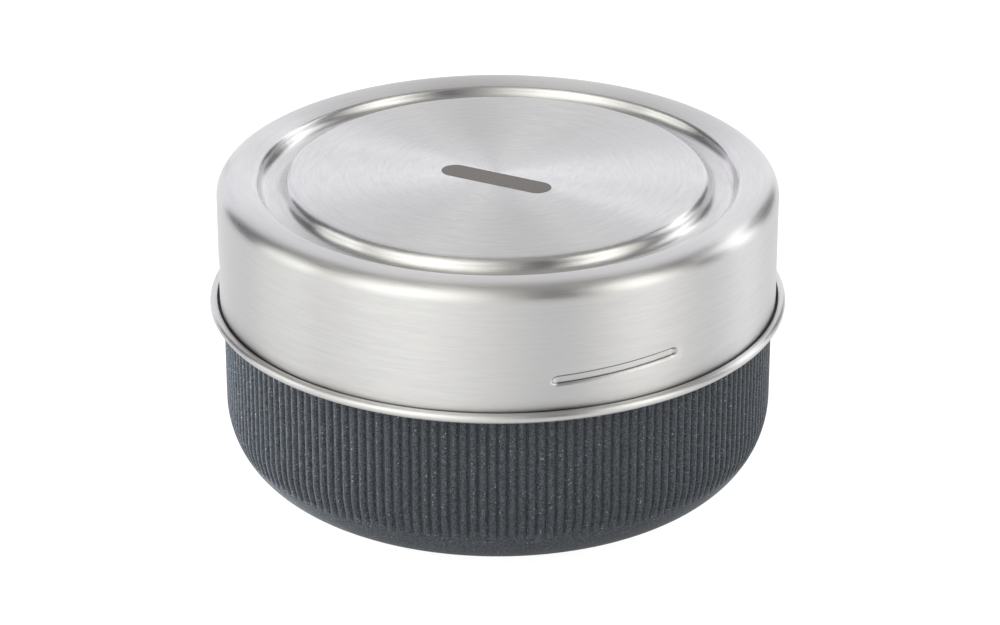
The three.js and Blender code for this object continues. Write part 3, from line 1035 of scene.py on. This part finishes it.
class BOWL_OT_lid(bpy.types.Operator):
    """Makes the steel lid with its groove, pressed lugs and rolled rim"""
    bl_idname = "bowl.lid"
    bl_label = "Steel lid"

    def execute(self, context):
        lid, thread = context.scene.bowl_lid, context.scene.bowl_thread
        wall = LidWall(context)
        face = LidFace(wall, FACE_STEP, FACE_LUG_ROWS, 0, thread.lug_depth)
        back = LidFace(wall, BACK_STEP, BACK_LUG_ROWS, lid.sheet, thread.lug_reach)
        azimuths = wall.helix.azimuths(*LID_COLUMNS)
        disc_height = lid.top - lid.disc_drop
        rows = [disc_height - lid.sheet] + back.rows + face.rows[::-1] + [disc_height]
        mesh = turned_mesh("lid_shell_fine", rows, azimuths)
        plain_back = [[0.0] * len(azimuths)] * len(back.rows)
        store_rows(mesh, "along_profile", back.lengths(azimuths) + face.lengths(azimuths)[::-1])
        store_rows(mesh, "bend", back.bends(azimuths) + face.bends(azimuths)[::-1])
        # Painted shade for the steel's colour, deep in the lugs' creases and in the gap behind the rolled
        # rim; none on the back
        store_rows(mesh, "painted_crease_shade", plain_back + face.painted_crease_shades(azimuths)[::-1])
        mesh.materials.append(brushed_steel(context.scene.bowl_finish))
        add_piece("steel_lid", mesh, "lid", "lid_shell")
        return {"FINISHED"}


# Plate

class BOWL_OT_plate(bpy.types.Operator):
    """Makes the small bare etched plate on the lid's disc"""
    bl_idname = "bowl.plate"
    bl_label = "Etched plate"

    def execute(self, context):
        lid, sizes = context.scene.bowl_lid, context.scene.bowl_plate
        disc = lid.top - lid.disc_drop
        end = sizes.short_side / 2
        half = sizes.long_side / 2 - end
        levels = [(0.0, disc - sizes.proud), (0.0, disc + sizes.proud / 2),
                  (PLATE_BEVEL * sizes.proud, disc + sizes.proud)]
        vertices, faces = [], []
        outline = [(half, angle) for angle in spaced(-90, 90, PLATE_END_STEPS)]
        outline += [(-half, angle) for angle in spaced(90, 270, PLATE_END_STEPS)]
        cosine, sine = math.cos(sizes.angle), math.sin(sizes.angle)
        for inset, height in levels:
            for centre, degrees in outline:
                angle = math.radians(degrees)
                along = centre + (end - inset) * math.cos(angle)
                aside = (end - inset) * math.sin(angle)
                vertices.append((sizes.across + along * cosine - aside * sine,
                                 sizes.back + along * sine + aside * cosine, height))
        count = len(outline)
        for level in range(len(levels) - 1):
            for at in range(count):
                after = (at + 1) % count
                low, high = level * count, (level + 1) * count
                faces.append((low + at, low + after, high + after, high + at))
        last = (len(levels) - 1) * count
        faces.append(tuple(range(last, last + count)))
        faces.append(tuple(range(count))[::-1])
        mesh = bpy.data.meshes.new("etched_plate")
        mesh.from_pydata(vertices, [], faces)
        mesh.update()
        mesh.materials.append(etched_plate(context.scene.bowl_finish))
        add_piece("bare_plate", mesh, "lid", None)
        return {"FINISHED"}


# Stage

class BOWL_OT_stage(bpy.types.Operator):
    """Makes the floor, the light and the camera"""
    bl_idname = "bowl.stage"
    bl_label = "Stage"

    def execute(self, context):
        settings = context.scene.bowl_stage
        context.scene.view_settings.view_transform = "Standard"
        self.make_floor(settings)
        self.make_world(context)
        for name, (azimuth, power) in SIDE_LAMPS.items():
            self.make_side_lamp(context, settings, name, math.radians(azimuth), power)
        self.make_camera(context, settings)
        return {"FINISHED"}

    def make_floor(self, settings):
        """A plain white floor that shows as white and keeps a soft shadow, and whose glow, as mirrored rays
        see it, holds a painted shadow in a ring round the bowl.
        """
        half = settings.floor_size / 2
        corners = [(-half, -half, 0), (half, -half, 0), (half, half, 0), (-half, half, 0)]
        mesh = bpy.data.meshes.new("floor")
        mesh.from_pydata(corners, [], [(0, 1, 2, 3)])
        shader = Shader("floor_white")
        shader.tree.nodes.remove(shader.surface)
        path = shader.add("ShaderNodeLightPath").outputs
        to_camera = path["Is Camera Ray"]
        mirrored = shader.math("MAXIMUM", path["Is Glossy Ray"], path["Is Transmission Ray"])
        paint = shader.add("ShaderNodeBsdfDiffuse", {"Color": rgba([FLOOR_PAINT] * 3)}).outputs[0]
        away = shader.measure("LENGTH", shader.place())
        # Painted shadow: the glow that mirrored rays see is darker in a ring round the bowl
        painted_contact_shadow = shader.ramp(away, settings.painted_shadow_inner, settings.painted_shadow_outer, settings.painted_shadow_light)
        strength = shader.math("ADD", FLOOR_GLOW, shader.math("MULTIPLY", to_camera, CAMERA_GLOW))
        strength = shader.math("MULTIPLY", strength, shader.math("MAXIMUM", painted_contact_shadow, to_camera))
        glow = shader.add("ShaderNodeEmission", {"Color": (1, 1, 1, 1), "Strength": strength}).outputs[0]
        keep = shader.math("MAXIMUM", mirrored, shader.math("MULTIPLY", to_camera, CAMERA_SHARE))
        mixed = shader.add("ShaderNodeMixShader", {0: keep, 1: paint, 2: glow}).outputs[0]
        shader.put(shader.tree.nodes["Material Output"].inputs["Surface"], mixed)
        shader.material.cycles.emission_sampling = "NONE"
        mesh.materials.append(shader.material)
        floor = bpy.data.objects.new("floor", mesh)
        bpy.context.scene.collection.objects.link(floor)

    def make_world(self, context):
        """A dim room with soft panels of light that stand round the bowl."""
        world = bpy.data.worlds.new("studio")
        context.scene.world = world
        world.use_nodes = True
        nodes = Nodes(world.node_tree)

        def between(value, start, end):
            """A smooth step from 0 to 1 between two angles in degrees."""
            return nodes.ramp(value, math.radians(start), math.radians(end), blend="SMOOTHSTEP")

        look = nodes.add("ShaderNodeTexCoord").outputs["Generated"]
        elevation = nodes.math("ARCSINE", nodes.add("ShaderNodeSeparateXYZ", {0: look}).outputs["Z"])
        level = nodes.vector("NORMALIZE", nodes.vector("MULTIPLY", look, (1, 1, 0)))
        ceiling = [high - low for low, high in zip(ROOM_LIGHT, CEILING_LIGHT)]
        total = nodes.vector("ADD", nodes.scaled(ceiling, between(elevation, *CEILING_RISE)), ROOM_LIGHT)
        for centre, half, soft, bottom, top, fade, light in PANELS.values():
            middle = (*direction(math.radians(centre)), 0)
            aside = nodes.math("ARCCOSINE", nodes.measure("DOT_PRODUCT", level, middle))
            shown = nodes.math("MULTIPLY", between(aside, half + soft, half - soft),
                               between(elevation, top + fade, top - fade))
            if bottom > 0:
                shown = nodes.math("MULTIPLY", shown, between(elevation, bottom - fade, bottom + fade))
            total = nodes.vector("ADD", total, nodes.scaled(light, shown))
        path = nodes.add("ShaderNodeLightPath").outputs
        seen = nodes.math("MAXIMUM", path["Is Camera Ray"], path["Is Transmission Ray"])
        to_white = nodes.vector("SUBTRACT", (1, 1, 1), total)
        background = world.node_tree.nodes["Background"].inputs
        nodes.put(background["Color"], nodes.vector("ADD", total, nodes.scaled(to_white, seen)))
        nodes.put(background["Strength"], 1.0)

    def make_side_lamp(self, context, settings, name, azimuth, power):
        """A large soft lamp beside the bowl that lights the silicone and isn't mirrored in the steel."""
        lamp = bpy.data.lights.new(name, "AREA")
        lamp.energy = power
        lamp.size = settings.lamp_size
        holder = bpy.data.objects.new(name, lamp)
        x, y = direction(azimuth)
        away, height = settings.lamp_distance, settings.lamp_height
        holder.location = (x * away, y * away, height)
        holder.rotation_euler = (math.atan2(away, height), 0, azimuth)
        holder.visible_glossy = False
        context.scene.collection.objects.link(holder)

    def make_camera(self, context, settings):
        """The photograph's view."""
        camera = bpy.data.cameras.new("camera")
        camera.sensor_fit = "HORIZONTAL"
        camera.sensor_width = SENSOR_WIDTH
        camera.lens = settings.lens
        holder = bpy.data.objects.new("camera", camera)
        holder.location = (settings.camera_across, -settings.camera_distance, settings.camera_height)
        holder.rotation_euler = (math.radians(90) - settings.camera_pitch, 0, 0)
        context.scene.collection.objects.link(holder)
        context.scene.camera = holder


OPERATORS = (BOWL_OT_sleeve, BOWL_OT_glass, BOWL_OT_seal, BOWL_OT_lid, BOWL_OT_plate, BOWL_OT_stage)


class BOWL_PT_panel(bpy.types.Panel):
    """Lists the pieces of the lunch bowl"""
    bl_idname = "BOWL_PT_panel"
    bl_label = "Lunch bowl"
    bl_space_type = "VIEW_3D"
    bl_region_type = "UI"
    bl_category = "Lunch Bowl"

    def draw(self, context):
        for operator in OPERATORS:
            self.layout.operator(operator.bl_idname)


def register():
    """Makes the classes known to Blender and gives each scene its sizes, finishes and settings."""
    for group in GROUPS.values():
        bpy.utils.register_class(group)
    for operator in (*OPERATORS, BOWL_PT_panel):
        bpy.utils.register_class(operator)
    for name, group in GROUPS.items():
        setattr(bpy.types.Scene, name, PointerProperty(type=group))


def unregister():
    """Takes back what register does, in the opposite order."""
    for name in GROUPS:
        delattr(bpy.types.Scene, name)
    for operator in reversed((*OPERATORS, BOWL_PT_panel)):
        bpy.utils.unregister_class(operator)
    for group in reversed(GROUPS.values()):
        bpy.utils.unregister_class(group)


def main():
    """Makes all pieces and the stage."""
    register()
    bpy.ops.bowl.sleeve()
    bpy.ops.bowl.glass()
    bpy.ops.bowl.seal()
    bpy.ops.bowl.lid()
    bpy.ops.bowl.plate()
    bpy.ops.bowl.stage()


if __name__ == "__main__":
    main()
